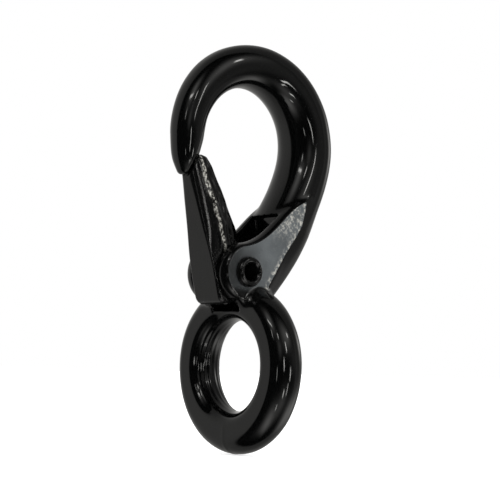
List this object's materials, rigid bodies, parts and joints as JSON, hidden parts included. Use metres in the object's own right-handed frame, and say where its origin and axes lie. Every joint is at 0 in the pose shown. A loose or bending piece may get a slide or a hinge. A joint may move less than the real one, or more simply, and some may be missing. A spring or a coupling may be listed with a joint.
{
  "type": "forged eye snap hook",
  "caption": "Forged hook with a fixed eye set across it, a bowl closed by a sprung gate, and a tubular cross rivet that the gate turns on.",
  "frame": {"origin": "middle of the eye's hole", "axes": "+Z from the eye up to the crown of the hook, +X along the eye's hole towards the hook's back, so the mouth and gate face -X, and Y along the gate's rivet"},
  "size_m": [0.0542, 0.046, 0.1148],
  "materials": {
    "black_coat": "gloss black coating over a smooth forging",
    "gate_coat": "gloss black coating over a rough casting",
    "rivet_coat": "gloss black coating",
    "spring_steel": "drawn spring wire"
  },
  "bodies": {
    "hook": {"hook_body": "black_coat", "rivet": "rivet_coat", "gate_spring": "spring_steel"},
    "gate": {"gate": "gate_coat"}
  },
  "joints": [
    {"name": "gate_hinge", "type": "hinge", "parent": "hook", "child": "gate", "pos_m": [-0.0052, 0, 0.0257], "axis": [0, 1, 0], "range_deg": [0, 45], "stiffness_Nm_per_rad": 0.3, "springref_deg": -34.38, "deforming": ["gate_spring"]}
  ]
}
